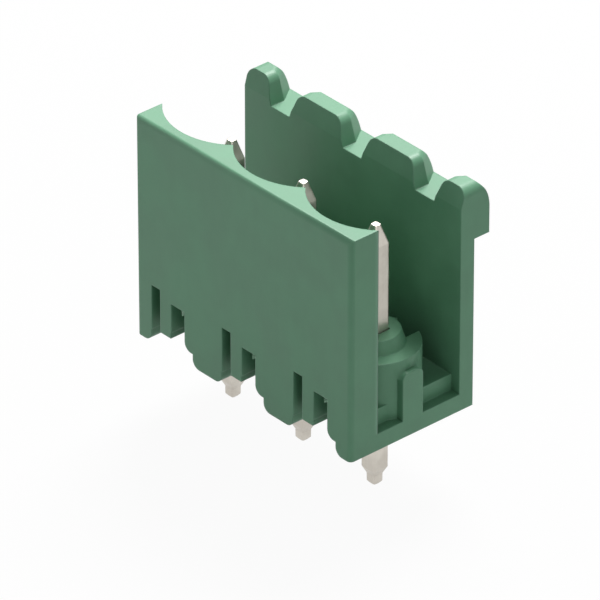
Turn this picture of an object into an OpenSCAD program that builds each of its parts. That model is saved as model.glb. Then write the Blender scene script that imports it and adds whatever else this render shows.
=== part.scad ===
// Three-pole upright pin header of a pluggable terminal block, for a printed circuit board.
//
// X runs along the row of poles, Y from the scalloped front wall to the latch wall, Z up.
// The origin is on the board's surface, under the middle of the row of contact pins.

/* [Row of poles] */
// Number of poles, one contact pin each
poles = 3; // [2:1:12]
// Distance from pole to pole
pitch = 5.08; // [5:0.01:7.62]

/* [Shroud] */
// Height of both walls above the board
wall_top = 12.0; // [10:0.1:16]
// Distance from the pins' centre to the front wall's outer face
front_reach = 3.8; // [3.6:0.05:5]
// Distance from the pins' centre to the latch wall's inner face
back_reach = 3.03; // [2.6:0.05:4]
// Thickness of the latch wall
back_wall = 0.84; // [0.6:0.02:1.4]
// Thickness of the front wall where a scallop is deepest
front_wall_min = 0.66; // [0.5:0.02:1]
// Thickness of the front wall between two scallops
front_wall_max = 1.7; // [1.4:0.05:2]
// Thickness of the floor at the pole boundaries
floor_t = 0.92; // [0.6:0.02:1.4]
// Radius of the front wall's outer edges
edge_r = 0.25; // [0.1:0.05:0.5]

/* [Latch ledge] */
// How far the ledge stands out from the latch wall
ledge_reach = 0.93; // [0.5:0.01:1.4]
// Depth of the ledge's underside below the wall's top
ledge_drop = 2.87; // [2.4:0.01:4]
// Height of the ledge's upright face
ledge_face_h = 1.45; // [0.8:0.05:1.8]
// How far the latch wall's top edge lies inside the ledge's face
ledge_slope = 0.62; // [0.3:0.02:0.9]
// Width of the lead-in along the latch wall's inner top edge
lead_in_w = 0.27; // [0.1:0.01:0.4]
// Height of that lead-in
lead_in_h = 1.0; // [0.4:0.05:1.6]

/* [Crown notches] */
// Depth of a notch below the wall's top
notch_depth = 1.34; // [0.8:0.02:2]
// Width of a notch at its floor
notch_floor_w = 1.3; // [0.8:0.05:2]
// Width of a notch at the top
notch_top_w = 2.2; // [1.6:0.05:3]
// Extra width of each notch where it crosses the ledge
notch_ledge_extra = 0.6; // [0.2:0.05:1]
// Radius of the crown's corners
crown_r = 0.55; // [0.2:0.05:0.7]

/* [Pedestals] */
// Diameter of the round pedestal under each pin
pedestal_d = 4.4; // [3.6:0.1:4.8]
// Height of the pedestals above the board
pedestal_z = 4.0; // [3.6:0.05:5]
// Width of the slot in each pedestal, towards the latch wall
pedestal_slot_w = 1.5; // [1:0.05:2]
// Distance from the pin's centre to the start of that slot
pedestal_slot_y = 1.15; // [0.9:0.05:1.6]
// Diameter of the collar around each pin, at its top
collar_d = 2.45; // [2:0.05:3]
// Diameter of the collar at its foot
collar_foot_d = 2.9; // [2.4:0.05:3.4]
// Height of the collars above the pedestals
collar_h = 0.67; // [0.3:0.01:1.2]
// Width of the web that joins the pedestals
web_w = 1.25; // [0.8:0.05:2]
// Distance from the pins' centre to the web's centre line, towards the latch wall
web_shift = 0.1; // [0:0.05:0.3]
// Height of the web above the board
web_z = 3.45; // [2:0.05:3.6]
// Radius of the web's upper edges
web_r = 0.35; // [0.1:0.05:0.4]

/* [Underside] */
// Height of the relief between the feet, over the solder joints
relief_z = 0.7; // [0.4:0.02:1]
// Width of that relief
relief_w = 3.0; // [2.8:0.1:3.6]
// Radius of the feet's corners
foot_r = 0.45; // [0.1:0.05:0.6]
// Thickness of the floor over the relief
relief_floor_t = 1.1; // [0.8:0.05:1.4]

/* [Wall cuts] */
// Height of the tongue's lower end above the board
tongue_z = 0.82; // [0.6:0.02:1.2]
// Width of the tongue between slit and window
tongue_w = 0.8; // [0.5:0.02:1]
// Width of the slit to the left of each tongue
slit_w = 0.62; // [0.4:0.02:0.8]
// Height of the slit's top above the board
slit_z = 3.18; // [2:0.02:3.6]
// Width of the window to the right of each tongue
window_w = 0.96; // [0.6:0.02:1.2]
// Height of the window's top above the board
window_z = 2.76; // [2:0.02:3.6]
// Distance from the pole's centre to the window's far side
window_side = 0.92; // [0.6:0.02:1]
// Depth of slit and window, from the front wall's outer face
cut_depth = 1.25; // [1:0.05:1.4]

/* [Contact pins] */
// Side of the square pin
pin_side = 1.0; // [0.8:0.05:1.2]
// Distance from the wall's top down to the pin's upper tip
pin_recess = 1.5; // [0.5:0.1:3]
// Length of the pin below the board's surface
tail_length = 3.9; // [2.6:0.1:5]
// Length of the taper at each end of the pin
tip_length = 0.85; // [0.4:0.05:1.2]
// Side of the flat on the pin's tips
tip_flat = 0.3; // [0.15:0.05:0.5]
// Gap between the pin and its square channel, on each side
pin_gap = 0.01; // [0.01:0.01:0.05]

/* [Hidden] */
$fn = 64;
// How far a cutting shape runs past the surface that it cuts
over = 1;
// Length of the row, end face to end face
row_length = poles * pitch;
// Places of the walls' faces across the row
front_y = -front_reach;
latch_y = back_reach;
back_y = latch_y + back_wall;
ledge_y = back_y + ledge_reach;
// The scallops: where two of them meet, and the circle through cusp, bottom and cusp
cusp_y = front_y + front_wall_max;
scallop_depth = front_wall_max - front_wall_min;
scallop_r = arc_radius(pitch / 2, scallop_depth);
scallop_y = front_y + front_wall_min + scallop_r;
// The ledge's heights, and the arc from its face to the wall's top
ledge_z = wall_top - ledge_drop;
ledge_arc_z = ledge_z + ledge_face_h;
ledge_arc_r = arc_radius(wall_top - ledge_arc_z, ledge_slope);
notch_z = wall_top - notch_depth;
collar_z = pedestal_z + collar_h;
raised_floor_z = relief_z + relief_floor_t;
// The slit, tongue and window stand side by side, from the window's far side back
window_x = window_side - window_w;
tongue_x = window_x - tongue_w;
slit_x = tongue_x - slit_w;

// Radius of the arc that rises by "rise" over half a chord
function arc_radius(half_chord, rise) = (half_chord * half_chord + rise * rise) / (2 * rise);

// Place of a pole along the row, counted from 1
function pole_x(number) = (number - (poles + 1) / 2) * pitch;

// Puts a copy of its children at every pole
module at_poles() {
    for (number = [1:poles])
        translate([pole_x(number), 0])
            children();
}

// Adds the mirror image across the plane X = 0
module both_sides() {
    children();
    mirror([1, 0])
        children();
}

// Extrudes a Y-Z profile along the whole row, and past both ends by "extra"
module along_row(extra = 0) {
    translate([-row_length / 2 - extra, 0, 0])
        rotate([90, 0, 90])
            linear_extrude(row_length + 2 * extra)
                children();
}

// Extrudes an X-Z outline from y0 to y1
module front_view(y0, y1) {
    translate([0, y1, 0])
        rotate([90, 0, 0])
            linear_extrude(y1 - y0)
                children();
}

// What is cut from a square corner at the origin, with its sides along +X and +Y, to round it
module corner_waste(r) {
    difference() {
        translate([-over, -over])
            square(r + over);
        translate([r, r])
            circle(r);
    }
}

// Cross-section of the solid moulding, with the ledge along the latch wall's top
module end_profile() {
    difference() {
        translate([front_y, 0])
            square([back_y - front_y, wall_top]);
        translate([front_y, wall_top])
            mirror([0, 1])
                corner_waste(edge_r);
    }
    translate([latch_y, ledge_z])
        square([ledge_y - latch_y, ledge_face_h]);
    intersection() {
        translate([latch_y, ledge_arc_z])
            square([ledge_y - latch_y, wall_top - ledge_arc_z]);
        translate([ledge_y - ledge_arc_r, ledge_arc_z])
            circle(ledge_arc_r);
    }
}

// Plan of the moulding, with its two front corners rounded
module plan_outline() {
    difference() {
        translate([-row_length / 2, front_y])
            square([row_length, ledge_y - front_y]);
        both_sides()
            translate([-row_length / 2, front_y])
                corner_waste(edge_r);
    }
}

// Plan of the trough that takes the plug: one scallop for each pole, open at both ends
module trough_plan() {
    translate([-row_length / 2 - over, cusp_y])
        square([row_length + 2 * over, latch_y - cusp_y]);
    at_poles()
        intersection() {
            translate([0, scallop_y])
                circle(scallop_r);
            translate([-scallop_r, front_y])
                square([2 * scallop_r, latch_y - front_y]);
        }
}

// Slope along the inner top edge of the latch wall
module lead_in_profile() {
    polygon([
        [latch_y - over, wall_top - lead_in_h],
        [latch_y, wall_top - lead_in_h],
        [latch_y + lead_in_w, wall_top],
        [latch_y + lead_in_w, wall_top + over],
        [latch_y - over, wall_top + over]
    ]);
}

// One notch of the crown, wider by "extra"
module notch_outline(extra) {
    floor_x = (notch_floor_w + extra) / 2;
    top_x = (notch_top_w + extra) / 2;
    polygon([
        [-floor_x, notch_z],
        [floor_x, notch_z],
        [top_x, wall_top],
        [top_x, wall_top + over],
        [-top_x, wall_top + over],
        [-top_x, wall_top]
    ]);
}

// What is cut from the latch wall to leave its crown of round-shouldered teeth
module crown_waste(extra) {
    difference() {
        translate([-row_length / 2 - over, notch_z])
            square([row_length + 2 * over, notch_depth + over]);
        offset(r = crown_r)
            offset(delta = -crown_r)
                difference() {
                    translate([-row_length / 2, 0])
                        square([row_length, wall_top]);
                    at_poles()
                        notch_outline(extra);
                }
    }
}

// The walls, floor and ledge, before anything is cut through them
module shell() {
    difference() {
        intersection() {
            along_row()
                end_profile();
            linear_extrude(wall_top)
                plan_outline();
        }
        translate([0, 0, floor_t])
            linear_extrude(wall_top)
                trough_plan();
        along_row(over)
            lead_in_profile();
        front_view(latch_y - over, back_y)
            crown_waste(0);
        front_view(back_y, ledge_y + over)
            crown_waste(notch_ledge_extra);
    }
}

// The round pedestal and collar that carry a pin, slotted towards the latch wall
module pedestal() {
    difference() {
        translate([0, 0, relief_z])
            cylinder(d = pedestal_d, h = pedestal_z - relief_z);
        translate([-pedestal_slot_w / 2, pedestal_slot_y, raised_floor_z])
            cube([pedestal_slot_w, pedestal_d, pedestal_z]);
    }
    translate([0, 0, pedestal_z])
        cylinder(d1 = collar_foot_d, d2 = collar_d, h = collar_h);
}

// Floor over the relief, from the front wall to the latch wall
module raised_floor() {
    floor_w = relief_w + floor_t;
    translate([-floor_w / 2, front_y + front_wall_min / 2, relief_z])
        cube([floor_w, latch_y - front_y, relief_floor_t]);
}

// Section of the web between the pedestals, with rounded upper edges
module web_profile() {
    translate([web_shift, 0])
        difference() {
            translate([-web_w / 2, 0])
                square([web_w, web_z]);
            both_sides()
                translate([-web_w / 2, web_z])
                    mirror([0, 1])
                        corner_waste(web_r);
        }
}

// Relief between two feet, with the feet's corners rounded
module relief_outline() {
    difference() {
        translate([-relief_w / 2 - foot_r, -over])
            square([relief_w + 2 * foot_r, relief_z + over]);
        both_sides()
            translate([relief_w / 2 + foot_r, foot_r]) {
                circle(foot_r);
                translate([-foot_r, 0])
                    square([2 * foot_r, relief_z]);
            }
    }
}

// Slit and window on both sides of a tongue, and the gap under the tongue's end
module wall_cut_outline() {
    translate([slit_x, -over])
        square([slit_w, slit_z + over]);
    translate([window_x, -over])
        square([window_w, window_z + over]);
    translate([slit_x, -over])
        square([window_side - slit_x, tongue_z + over]);
    translate([window_side, relief_z])
        corner_waste(foot_r);
}

// The moulded housing
module housing() {
    color([0.36, 0.58, 0.45])
        difference() {
            union() {
                shell();
                along_row()
                    web_profile();
                at_poles() {
                    pedestal();
                    raised_floor();
                }
            }
            at_poles() {
                front_view(front_y - over, ledge_y + over)
                    relief_outline();
                front_view(front_y - over, front_y + cut_depth)
                    wall_cut_outline();
                linear_extrude(collar_z + over)
                    square(pin_side + 2 * pin_gap, center = true);
            }
        }
}

// Side view of a pin, tapered at both ends
module pin_outline() {
    side = pin_side / 2;
    tip = tip_flat / 2;
    top = wall_top - pin_recess;
    polygon([
        [-tip, -tail_length],
        [tip, -tail_length],
        [side, -tail_length + tip_length],
        [side, top - tip_length],
        [tip, top],
        [-tip, top],
        [-side, top - tip_length],
        [-side, -tail_length + tip_length]
    ]);
}

// One square contact pin, its ends tapered on all four sides
module pin(number) {
    color([0.80, 0.77, 0.70])
        translate([pole_x(number), 0, 0])
            intersection() {
                front_view(-pin_side, pin_side)
                    pin_outline();
                rotate(90)
                    front_view(-pin_side, pin_side)
                        pin_outline();
            }
}

housing();
for (number = [1:poles])
    pin(number);
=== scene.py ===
"""Looks of an upright, three-pole pin header of a pluggable terminal block.

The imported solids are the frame: a moulded green shroud and three square contact pins. The
classes below model the visible shroud and pins inside the boxes of those solids, give them
their plastic and their plating, light them softly on a plain white table and set the camera.
All lengths are in metres, in the frame of the solids: X along the row of poles, Y from the
scalloped front wall to the latch wall, Z up from the board.
"""

from __future__ import annotations

import logging
import math
from dataclasses import dataclass, field
from enum import Enum
from typing import Any, Mapping, Sequence, Union

import bmesh
import bpy
from mathutils import Matrix, Vector, kdtree

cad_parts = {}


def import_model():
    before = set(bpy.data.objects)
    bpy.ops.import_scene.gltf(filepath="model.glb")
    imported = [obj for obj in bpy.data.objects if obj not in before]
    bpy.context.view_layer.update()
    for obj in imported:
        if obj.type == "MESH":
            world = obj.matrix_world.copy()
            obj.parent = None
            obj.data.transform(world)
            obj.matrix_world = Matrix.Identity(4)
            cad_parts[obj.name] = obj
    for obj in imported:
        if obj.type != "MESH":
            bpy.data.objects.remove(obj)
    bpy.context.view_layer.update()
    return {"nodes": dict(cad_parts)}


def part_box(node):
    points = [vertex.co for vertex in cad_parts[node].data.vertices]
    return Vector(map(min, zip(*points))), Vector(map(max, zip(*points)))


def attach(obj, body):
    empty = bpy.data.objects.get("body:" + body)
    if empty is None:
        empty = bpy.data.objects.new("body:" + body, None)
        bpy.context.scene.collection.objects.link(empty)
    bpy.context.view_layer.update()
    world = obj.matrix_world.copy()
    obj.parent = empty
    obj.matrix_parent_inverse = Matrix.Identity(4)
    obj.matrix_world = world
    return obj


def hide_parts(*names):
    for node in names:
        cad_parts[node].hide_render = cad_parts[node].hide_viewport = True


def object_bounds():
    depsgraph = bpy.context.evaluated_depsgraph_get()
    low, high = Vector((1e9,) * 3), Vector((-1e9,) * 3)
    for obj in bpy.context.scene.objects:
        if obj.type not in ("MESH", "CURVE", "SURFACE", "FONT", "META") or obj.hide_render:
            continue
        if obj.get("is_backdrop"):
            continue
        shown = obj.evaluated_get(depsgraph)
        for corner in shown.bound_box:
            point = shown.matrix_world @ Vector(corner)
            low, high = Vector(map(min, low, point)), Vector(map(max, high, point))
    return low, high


LOG = logging.getLogger("pin_header")
MM = 0.001
BODY = "root"
EDGE_SAMPLES = 8

Colour = tuple[float, float, float]
Number = Union[int, float]


class Op(Enum):
    """Operations of the Math node that expressions use."""

    ADD = "ADD"
    SUBTRACT = "SUBTRACT"
    MULTIPLY = "MULTIPLY"
    MAXIMUM = "MAXIMUM"
    MINIMUM = "MINIMUM"


class Side(Enum):
    """Which side of a surface an occlusion reading looks at."""

    OUTSIDE = False
    INSIDE = True


class Field:
    """A shader socket that takes part in Python arithmetic.

    An expression on fields adds the Math nodes that work it out, so that a mask reads as
    ``(1 - wear) * 0.5`` in the code.
    """

    def __init__(self, shader: "Shader", socket: bpy.types.NodeSocket | None) -> None:
        """Wraps one output socket.

        Args:
            shader: The shader whose node tree the socket is in.
            socket: The output socket, or None for a node that has no output.
        """
        self.shader = shader
        self.socket = socket

    def _math(self, op: Op, first: "Input", second: "Input") -> "Field":
        """Adds one Math node.

        Args:
            op: What the node does.
            first: Its first value.
            second: Its second value.

        Returns:
            The node's result.
        """
        return self.shader.node("ShaderNodeMath", {"operation": op.value}, {0: first, 1: second})

    def __add__(self, other: "Input") -> "Field":
        """Adds a field or a number."""
        return self._math(Op.ADD, self, other)

    def __radd__(self, other: Number) -> "Field":
        """Adds a field to a number."""
        return self._math(Op.ADD, other, self)

    def __sub__(self, other: "Input") -> "Field":
        """Takes a field or a number away."""
        return self._math(Op.SUBTRACT, self, other)

    def __rsub__(self, other: Number) -> "Field":
        """Takes a field away from a number."""
        return self._math(Op.SUBTRACT, other, self)

    def __mul__(self, other: "Input") -> "Field":
        """Multiplies by a field or a number."""
        return self._math(Op.MULTIPLY, self, other)

    def __rmul__(self, other: Number) -> "Field":
        """Multiplies a number by a field."""
        return self._math(Op.MULTIPLY, other, self)

    def clamped(self, low: Number = 0.0, high: Number = 1.0) -> "Field":
        """Keeps the field between two numbers.

        Args:
            low: The least value.
            high: The greatest value.

        Returns:
            The limited field.
        """
        return self._math(Op.MINIMUM, self._math(Op.MAXIMUM, self, low), high)


Input = Union[Field, Number, Sequence[float]]


class Shader:
    """The node tree of one material or of the world."""

    def __init__(self, owner: Union[bpy.types.Material, bpy.types.World]) -> None:
        """Starts with an empty tree.

        Args:
            owner: The material or world that the tree belongs to.
        """
        owner.use_nodes = True
        self.tree = owner.node_tree
        self.tree.nodes.clear()

    def node(
        self,
        kind: str,
        settings: Mapping[str, Any] | None = None,
        inputs: Mapping[Union[int, str], Input] | None = None,
        output: Union[int, str] = 0,
    ) -> Field:
        """Adds one node.

        Args:
            kind: The node's type.
            settings: Its settings, set before its sockets.
            inputs: Values or links for its input sockets, by name or number.
            output: The output socket that is returned.

        Returns:
            The chosen output.
        """
        made = self.tree.nodes.new(kind)
        for name, value in (settings or {}).items():
            setattr(made, name, value)
        for name, value in (inputs or {}).items():
            if isinstance(value, Field):
                self.tree.links.new(value.socket, made.inputs[name])
            else:
                made.inputs[name].default_value = value
        return Field(self, made.outputs[output] if len(made.outputs) else None)

    def coordinates(self, scale: Colour = (1.0, 1.0, 1.0)) -> Field:
        """Object coordinates, stretched by a Mapping node.

        Args:
            scale: Factor along each axis.

        Returns:
            The coordinates.
        """
        place = self.node("ShaderNodeTexCoord", output="Object")
        return self.node("ShaderNodeMapping", {}, {"Vector": place, "Scale": scale})

    def noise(self, where: Field, per_metre: float, detail: float = 3.0, rough: float = 0.5) -> Field:
        """A noise pattern, from 0 to 1 about a mean of 0.5.

        Args:
            where: Coordinates.
            per_metre: How many cells there are in a metre.
            detail: How many finer octaves are laid over the first.
            rough: How strong each finer octave is.

        Returns:
            The pattern.
        """
        return self.node(
            "ShaderNodeTexNoise",
            {"noise_dimensions": "3D"},
            {"Vector": where, "Scale": per_metre, "Detail": detail, "Roughness": rough},
            "Fac",
        )

    def spread(self, value: Field, low: float, high: float) -> Field:
        """Maps a stretch of values smoothly onto 0 to 1.

        Args:
            value: The field.
            low: The value that becomes 0.
            high: The value that becomes 1.

        Returns:
            The mapped field.
        """
        return self.node(
            "ShaderNodeMapRange",
            {"interpolation_type": "SMOOTHSTEP"},
            {"Value": value, "From Min": low, "From Max": high},
        )

    def mix(self, amount: Input, first: Input, second: Input) -> Field:
        """Blends two colours.

        Args:
            amount: Share of the second colour.
            first: The colour at 0.
            second: The colour at 1.

        Returns:
            The blended colour.
        """
        colours = [c if isinstance(c, Field) else (*c, 1.0) for c in (first, second)]
        return self.node(
            "ShaderNodeMix",
            {"data_type": "RGBA", "blend_type": "MIX"},
            {0: amount, 6: colours[0], 7: colours[1]},
            2,
        )

    def crevice(self, side: Side, reach: float) -> Field:
        """How enclosed a surface point is: 0 on an open face, towards 1 where it is shut in.

        Args:
            side: Outside reads hollows, and inside reads the material along outer edges.
            reach: How far it looks, in metres.

        Returns:
            The mask.
        """
        open_share = self.node(
            "ShaderNodeAmbientOcclusion",
            {"samples": EDGE_SAMPLES, "inside": side.value, "only_local": True},
            {"Distance": reach},
            "AO",
        )
        return 1 - open_share

    def bump(self, height: Field, depth: float, round_edges: float) -> Field:
        """A relief on the surface, over softly rounded edges.

        Args:
            height: The relief, from 0 to 1.
            depth: Its depth in metres.
            round_edges: Radius that the edges seem to have, in metres.

        Returns:
            The normal.
        """
        rounded = self.node("ShaderNodeBevel", {"samples": EDGE_SAMPLES}, {"Radius": round_edges})
        return self.node(
            "ShaderNodeBump",
            {},
            {"Height": height, "Strength": 1.0, "Distance": depth, "Normal": rounded},
        )

    def surface(self, sockets: Mapping[Union[int, str], Input]) -> None:
        """Ends the material in a Principled shader.

        Args:
            sockets: Values or links for its sockets.
        """
        shader = self.node("ShaderNodeBsdfPrincipled", {}, sockets)
        self.node("ShaderNodeOutputMaterial", {}, {"Surface": shader})

    def backdrop_rays(self) -> Field:
        """1 for the rays that see the backdrop: straight, mirrored or through something clear."""
        names = ("Is Camera Ray", "Is Glossy Ray", "Is Transmission Ray")
        path = [self.node("ShaderNodeLightPath", output=name) for name in names]
        return (path[0] + path[1] + path[2]).clamped()


@dataclass(frozen=True)
class MouldedPlastic:
    """Matt, evenly coloured polyamide, as it comes from a spark-eroded mould, with painted shade in
    its hollows and a painted highlight along its outer edges.
    """

    name: str = "moulded_green_polyamide"
    base: Colour = (0.108, 0.268, 0.160)
    deep: Colour = (0.080, 0.214, 0.124)
    cloud_per_metre: float = 420.0
    cloud_band: tuple[float, float] = (0.3, 0.7)
    flow_per_metre: float = 1900.0
    flow_stretch: Colour = (1.0, 1.0, 0.22)
    grain: float = 0.11 * MM
    grain_rough: float = 0.6
    grain_depth: float = 0.004 * MM
    tone_shares: tuple[float, float, float] = (0.55, 0.30, 0.25)
    relief_shares: tuple[float, float] = (0.75, 0.25)
    # painted shade: a darker green laid into hollows and deep corners, where the walls' shade falls
    painted_hollow_shade: Colour = (0.030, 0.092, 0.048)
    painted_shade_reach: float = 2.4 * MM
    painted_shade_band: tuple[float, float] = (0.42, 0.92)
    painted_shade_share: float = 0.62
    # painted highlight: a lighter green laid along the outer edges, where they catch the light
    painted_edge_highlight: Colour = (0.215, 0.400, 0.290)
    highlight_reach: float = 0.22 * MM
    highlight_band: tuple[float, float] = (0.30, 0.75)
    highlight_share: float = 0.30
    roughness: float = 0.50
    cloud_roughness: float = 0.10
    edge_gloss: float = 0.08
    specular: float = 0.42
    edge_radius: float = 0.10 * MM

    def material(self) -> bpy.types.Material:
        """Builds the material.

        Returns:
            The finished material.
        """
        made = bpy.data.materials.new(self.name)
        shader = Shader(made)
        where = shader.coordinates()
        cloud = shader.spread(shader.noise(where, self.cloud_per_metre, 2.0), *self.cloud_band)
        flow = shader.noise(shader.coordinates(self.flow_stretch), self.flow_per_metre, 2.0)
        grain = shader.noise(where, 1.0 / self.grain, 3.0, self.grain_rough)
        # outer edges: they carry the painted highlight and a lower roughness
        edge = shader.spread(shader.crevice(Side.INSIDE, self.highlight_reach), *self.highlight_band)
        by_cloud, by_flow, by_grain = self.tone_shares
        tone = (by_cloud * cloud + by_flow * flow + by_grain * grain).clamped()
        # painted shade: the colour darkens in hollows and deep corners, as the occlusion reading
        # finds them
        painted_shade_mask = shader.spread(shader.crevice(Side.OUTSIDE, self.painted_shade_reach), *self.painted_shade_band)
        plain = shader.mix(tone, self.deep, self.base)
        body = shader.mix(self.painted_shade_share * painted_shade_mask, plain, self.painted_hollow_shade)
        # painted highlight: the colour lightens along the outer edges
        with_painted_highlight = shader.mix(self.highlight_share * edge, body, self.painted_edge_highlight)
        relief_grain, relief_flow = self.relief_shares
        relief = relief_grain * grain + relief_flow * flow
        unevenness = self.cloud_roughness * (cloud - 0.5) - self.edge_gloss * edge
        shader.surface(
            {
                "Base Color": with_painted_highlight,
                "Roughness": (self.roughness + unevenness).clamped(),
                "Specular IOR Level": self.specular,
                "Normal": shader.bump(relief, self.grain_depth, self.edge_radius),
            }
        )
        return made


@dataclass(frozen=True)
class TinPlate:
    """Satin tin plating over drawn square wire, with painted shade along the pins' outer edges."""

    name: str = "tin_plated_wire"
    base: Colour = (0.70, 0.665, 0.60)
    dull_and_edge_shade: Colour = (0.50, 0.465, 0.41)
    streaks_per_metre: float = 9000.0
    streak_stretch: Colour = (1.0, 1.0, 0.06)
    streak_rough: float = 0.6
    streak_depth: float = 0.003 * MM
    blotch_per_metre: float = 900.0
    blotch_band: tuple[float, float] = (0.35, 0.68)
    edge_reach: float = 0.12 * MM
    edge_band: tuple[float, float] = (0.35, 0.8)
    # the third tone share darkens the plating along the outer edges: painted shade
    tone_shares: tuple[float, float, float] = (0.6, 0.4, 0.25)
    roughness: float = 0.34
    blotch_roughness: float = 0.16
    edge_polish: float = 0.06
    edge_radius: float = 0.06 * MM

    def material(self) -> bpy.types.Material:
        """Builds the material.

        Returns:
            The finished material.
        """
        made = bpy.data.materials.new(self.name)
        shader = Shader(made)
        drawn = shader.coordinates(self.streak_stretch)
        streaks = shader.noise(drawn, self.streaks_per_metre, 3.0, self.streak_rough)
        blotch = shader.noise(shader.coordinates(), self.blotch_per_metre, 3.0)
        blotch = shader.spread(blotch, *self.blotch_band)
        edge = shader.spread(shader.crevice(Side.INSIDE, self.edge_reach), *self.edge_band)
        by_blotch, by_streak, by_edge_shade = self.tone_shares
        # painted shade: the plating is darker along the outer edges
        tone = (by_blotch * blotch + by_streak * streaks - by_edge_shade * edge).clamped()
        unevenness = self.blotch_roughness * blotch - self.edge_polish * edge
        shader.surface(
            {
                "Base Color": shader.mix(tone, self.dull_and_edge_shade, self.base),
                "Metallic": 1.0,
                "Roughness": (self.roughness + unevenness).clamped(),
                "Normal": shader.bump(streaks, self.streak_depth, self.edge_radius),
            }
        )
        return made


@dataclass
class Housing:
    """The moulded shroud: a scalloped front wall, a latch wall with its ledge, and the floor.

    The notches of the latch wall's crown run straight through the wall, and flare across the
    ledge. The solid has them straight and wider there, so its copy is spread to the flare.
    """

    node: str = "housing"
    slot: str = "housing"
    weld: float = 0.002 * MM
    seam: float = 0.010 * MM
    ledge_reach: float = 0.93 * MM
    notch_depth: float = 1.34 * MM
    notch_step: float = 0.30 * MM
    notch_reach: tuple[float, float] = (0.75 * MM, 1.95 * MM)
    flare: float = math.radians(36.0)
    finish: MouldedPlastic = field(default_factory=MouldedPlastic)

    @staticmethod
    def _nearest(mesh: bmesh.types.BMesh) -> kdtree.KDTree:
        """Files the corners of a mesh by place.

        Args:
            mesh: The mesh.

        Returns:
            A tree that finds the corner nearest to a point.
        """
        mesh.verts.ensure_lookup_table()
        tree = kdtree.KDTree(len(mesh.verts))
        for vert in mesh.verts:
            tree.insert(vert.co, vert.index)
        tree.balance()
        return tree

    def _spread_notches(self, mesh: bmesh.types.BMesh, poles: Sequence[float]) -> None:
        """Turns the wide, straight stretch of each notch into a flare.

        The corners at the back of the wall close up with those of the narrow stretch. The
        further out on the ledge a corner lies, the further it moves away from its notch.

        Args:
            mesh: The moulding, with its doubles merged.
            poles: Place of each notch along the row.
        """
        back = max(v.co.y for v in mesh.verts) - self.ledge_reach
        floor = max(v.co.z for v in mesh.verts) - self.notch_depth
        near, far = self.notch_reach
        slack = 2 * self.weld
        tree = self._nearest(mesh)
        moves: list[tuple[bmesh.types.BMVert, float]] = []
        for vert in mesh.verts:
            pole = min(poles, key=lambda x: abs(vert.co.x - x))
            off = vert.co.x - pole
            if vert.co.z < floor - slack or vert.co.y < back - slack or not near < abs(off) < far:
                continue
            inward = -math.copysign(self.notch_step, off)
            if vert.co.y < back + slack:
                _, _, gap = tree.find(vert.co + Vector((inward, 0.0, 0.0)))
                if gap > self.seam:
                    continue
            outward = math.copysign((vert.co.y - back) * math.tan(self.flare), off)
            moves.append((vert, inward + outward))
        for vert, shift in moves:
            vert.co.x += shift
        step = [
            face
            for face in mesh.faces
            if all(abs(v.co.y - back) < slack and v.co.z > floor - slack for v in face.verts)
        ]
        bmesh.ops.delete(mesh, geom=step, context="FACES")
        LOG.info("%s: %d corners spread to the flare", self.node, len(moves))

    def build(self, nodes: Mapping[str, bpy.types.Object]) -> None:
        """Models the moulding over its solid and gives it its plastic.

        Args:
            nodes: The solids of the frame, by name.
        """
        pins = [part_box(name) for name in sorted(nodes) if name != self.node]
        poles = [(low[0] + high[0]) / 2 for low, high in pins]
        mesh = bmesh.new()
        mesh.from_mesh(nodes[self.node].data)
        bmesh.ops.remove_doubles(mesh, verts=mesh.verts, dist=self.weld)
        self._spread_notches(mesh, poles)
        bmesh.ops.remove_doubles(mesh, verts=mesh.verts, dist=self.seam)
        bmesh.ops.dissolve_degenerate(mesh, edges=mesh.edges, dist=self.weld)
        place(mesh, "shroud", self.finish.material(), self.node, self.slot)


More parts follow.
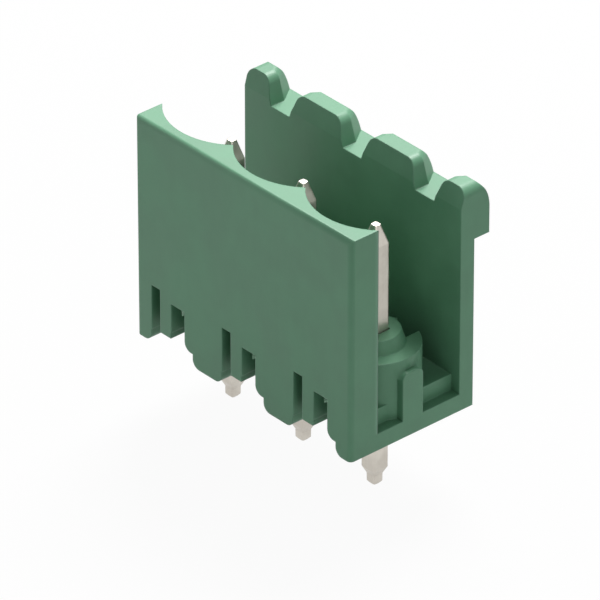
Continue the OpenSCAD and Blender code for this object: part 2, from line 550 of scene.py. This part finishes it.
@dataclass
class ContactRow:
    """The row of square contact pins, cut to a long taper above and a blunt nose below."""

    prefix: str = "pin_"
    slot: str = "contact"
    side: float = 0.92 * MM
    edge: float = 0.08 * MM
    edge_segments: int = 2
    tip_drop: float = 0.15 * MM
    tip_taper: float = 1.0 * MM
    tip_side: float = 0.36 * MM
    tail_taper: float = 0.38 * MM
    nose_side: float = 0.58 * MM
    nose_length: float = 0.42 * MM
    nose_crown: float = 0.12 * MM
    nose_crown_side: float = 0.38 * MM
    finish: TinPlate = field(default_factory=TinPlate)

    @staticmethod
    def _draw_out(
        mesh: bmesh.types.BMesh, end: bmesh.types.BMFace, length: float, share: float
    ) -> bmesh.types.BMFace:
        """Draws a pin's end face outwards and narrows it.

        Args:
            mesh: The pin so far.
            end: Its end face, square to Z.
            length: How far the face moves along its normal.
            share: Side of the new end face over the side of the old one.

        Returns:
            The new end face.
        """
        step = end.normal.z * length
        end = bmesh.ops.extrude_discrete_faces(mesh, faces=[end])["faces"][0]
        to_axis = Matrix.Translation(-end.calc_center_median())
        bmesh.ops.scale(mesh, verts=end.verts, vec=(share, share, 1.0), space=to_axis)
        bmesh.ops.translate(mesh, verts=end.verts, vec=(0.0, 0.0, step))
        mesh.normal_update()
        return end

    def pin_mesh(self, low: Vector, high: Vector) -> bmesh.types.BMesh:
        """Models one pin inside the box of its solid.

        Args:
            low: The box's lowest corner.
            high: The box's highest corner.

        Returns:
            The pin.
        """
        bottom = low.z + self.nose_crown + self.nose_length + self.tail_taper
        top = high.z - self.tip_drop - self.tip_taper
        middle = (low + high) / 2
        mesh = bmesh.new()
        bmesh.ops.create_cube(mesh, size=1.0)
        bmesh.ops.scale(mesh, verts=mesh.verts, vec=(self.side, self.side, top - bottom))
        bmesh.ops.translate(mesh, verts=mesh.verts, vec=(middle.x, middle.y, (top + bottom) / 2))
        mesh.normal_update()
        upper = max(mesh.faces, key=lambda face: face.normal.z)
        lower = min(mesh.faces, key=lambda face: face.normal.z)
        self._draw_out(mesh, upper, self.tip_taper, self.tip_side / self.side)
        lower = self._draw_out(mesh, lower, self.tail_taper, self.nose_side / self.side)
        lower = self._draw_out(mesh, lower, self.nose_length, 1.0)
        self._draw_out(mesh, lower, self.nose_crown, self.nose_crown_side / self.nose_side)
        lengthwise = [e for e in mesh.edges if e.verts[0].co.z != e.verts[1].co.z]
        bmesh.ops.bevel(
            mesh,
            geom=lengthwise,
            offset=self.edge,
            offset_type="OFFSET",
            affect="EDGES",
            segments=self.edge_segments,
            profile=0.5,
            clamp_overlap=True,
            material=-1,
        )
        return mesh

    def build(self, nodes: Mapping[str, bpy.types.Object]) -> None:
        """Models every pin over its solid and gives it its plating.

        Args:
            nodes: The solids of the frame, by name.
        """
        plating = self.finish.material()
        for name in sorted(nodes):
            if name.startswith(self.prefix):
                low, high = (Vector(corner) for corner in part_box(name))
                place(self.pin_mesh(low, high), f"contact_{name}", plating, name, self.slot)


@dataclass(frozen=True)
class SoftBox:
    """One large, soft lamp."""

    name: str
    toward: Colour
    distance: float
    width: float
    watts: float

    def build(self, target: Vector) -> None:
        """Places the lamp and turns it to the object.

        Args:
            target: The point that it shines at.
        """
        data = bpy.data.lights.new(self.name, "AREA")
        data.shape = "SQUARE"
        data.size = self.width
        data.energy = self.watts
        lamp = bpy.data.objects.new(self.name, data)
        direction = Vector(self.toward).normalized()
        lamp.location = target + direction * self.distance
        lamp.rotation_euler = (-direction).to_track_quat("-Z", "Y").to_euler()
        bpy.context.scene.collection.objects.link(lamp)
        LOG.info("%s: %.3f W from %s", self.name, self.watts, self.toward)


@dataclass
class Studio:
    """White table, soft lamps and camera.

    The upper lamp stands behind the object, so that the walls' tops are bright and the trough
    between the walls lies in their shade.
    """

    azimuth: float = 48.60
    elevation: float = 31.77
    distance: float = 408.8 * MM
    lens: float = 522.5
    sensor_width: float = 36.0
    clip: tuple[float, float] = (0.01, 10.0)
    look_at: Colour = (-0.02 * MM, 0.20 * MM, 5.0 * MM)
    shift: tuple[float, float] = (-0.01017, -0.0382)
    table_width: float = 1.2
    table_white: float = 0.95
    table_paper: float = 0.50
    sky: float = 0.24
    lamps: tuple[SoftBox, ...] = (
        SoftBox("top_box", (-0.35, 0.55, 1.0), 0.30, 0.14, 1.62),
        SoftBox("left_box", (-0.75, -1.0, 0.45), 0.34, 0.20, 0.15),
        SoftBox("right_box", (1.0, -0.20, 0.40), 0.34, 0.20, 0.17),
    )

    def build_table(self, height: float) -> None:
        """Lays the white table under the object.

        It is grey paper to the lamps and nearly all white to the eye, so that it keeps the
        object's shadow and throws little light back up.

        Args:
            height: Height of the table's surface.
        """
        mesh = bmesh.new()
        bmesh.ops.create_grid(mesh, x_segments=1, y_segments=1, size=self.table_width / 2)
        bmesh.ops.translate(mesh, verts=mesh.verts, vec=(0.0, 0.0, height))
        table = object_from(mesh, "table")
        made = bpy.data.materials.new("white_table")
        shader = Shader(made)
        grey = (self.table_paper, self.table_paper, self.table_paper, 1.0)
        paper = shader.node("ShaderNodeBsdfDiffuse", {}, {"Color": grey})
        glow = shader.node(
            "ShaderNodeEmission", {}, {"Color": (1.0, 1.0, 1.0, 1.0), "Strength": 1.0}
        )
        share = self.table_white * shader.backdrop_rays()
        blend = shader.node("ShaderNodeMixShader", {}, {0: share, 1: paper, 2: glow})
        shader.node("ShaderNodeOutputMaterial", {}, {"Surface": blend})
        paint(table, made)
        table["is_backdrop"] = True

    def build_sky(self) -> None:
        """Surrounds the scene with even white light."""
        world = bpy.data.worlds.new("studio")
        bpy.context.scene.world = world
        shader = Shader(world)
        strength = self.sky + (1.0 - self.sky) * shader.backdrop_rays()
        glow = shader.node(
            "ShaderNodeBackground", {}, {"Color": (1.0, 1.0, 1.0, 1.0), "Strength": strength}
        )
        shader.node("ShaderNodeOutputWorld", {}, {"Surface": glow})

    def build_camera(self) -> None:
        """Sets the camera at its viewing angle."""
        azimuth = math.radians(self.azimuth)
        elevation = math.radians(self.elevation)
        away = Vector(
            (
                math.sin(azimuth) * math.cos(elevation),
                -math.cos(azimuth) * math.cos(elevation),
                math.sin(elevation),
            )
        )
        data = bpy.data.cameras.new("camera")
        data.lens = self.lens
        data.sensor_width = self.sensor_width
        data.shift_x, data.shift_y = self.shift
        data.clip_start, data.clip_end = self.clip
        camera = bpy.data.objects.new("camera", data)
        camera.location = Vector(self.look_at) + away * self.distance
        camera.rotation_euler = (-away).to_track_quat("-Z", "Y").to_euler()
        bpy.context.scene.collection.objects.link(camera)
        bpy.context.scene.camera = camera

    def build(self) -> None:
        """Builds the camera, the table and the light."""
        low, high = (Vector(corner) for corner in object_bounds())
        self.build_camera()
        self.build_table(low.z)
        self.build_sky()
        for lamp in self.lamps:
            lamp.build((low + high) / 2)
        bpy.context.scene.view_settings.view_transform = "Standard"
        LOG.info("studio: table at %.2f mm", low.z / MM)


def object_from(mesh: bmesh.types.BMesh, name: str) -> bpy.types.Object:
    """Turns a finished bmesh into an object at the origin.

    Args:
        mesh: The bmesh, which is freed.
        name: The object's name.

    Returns:
        The new object.
    """
    data = bpy.data.meshes.new(name)
    mesh.to_mesh(data)
    mesh.free()
    made = bpy.data.objects.new(name, data)
    bpy.context.scene.collection.objects.link(made)
    return made


def paint(piece: bpy.types.Object, material: bpy.types.Material) -> None:
    """Gives a piece one material all over.

    Args:
        piece: The object.
        material: Its material.
    """
    piece.data.materials.clear()
    piece.data.materials.append(material)


def place(
    mesh: bmesh.types.BMesh, name: str, material: bpy.types.Material, node: str, slot: str
) -> None:
    """Puts a finished piece where its solid is, in the solid's stead.

    Args:
        mesh: The piece's bmesh, which is freed.
        name: The piece's name.
        material: Its finish.
        node: The solid that it stands for.
        slot: Not used.
    """
    piece = object_from(mesh, name)
    paint(piece, material)
    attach(piece, BODY)
    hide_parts(node)
    LOG.info("%s: modelled in %s", name, material.name)


def main() -> None:
    """Builds the pieces in order."""
    logging.basicConfig(level=logging.INFO, format="%(name)s: %(message)s")
    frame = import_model()
    nodes = frame["nodes"]
    Studio().build()
    Housing().build(nodes)
    ContactRow().build(nodes)


if __name__ == "__main__":
    main()
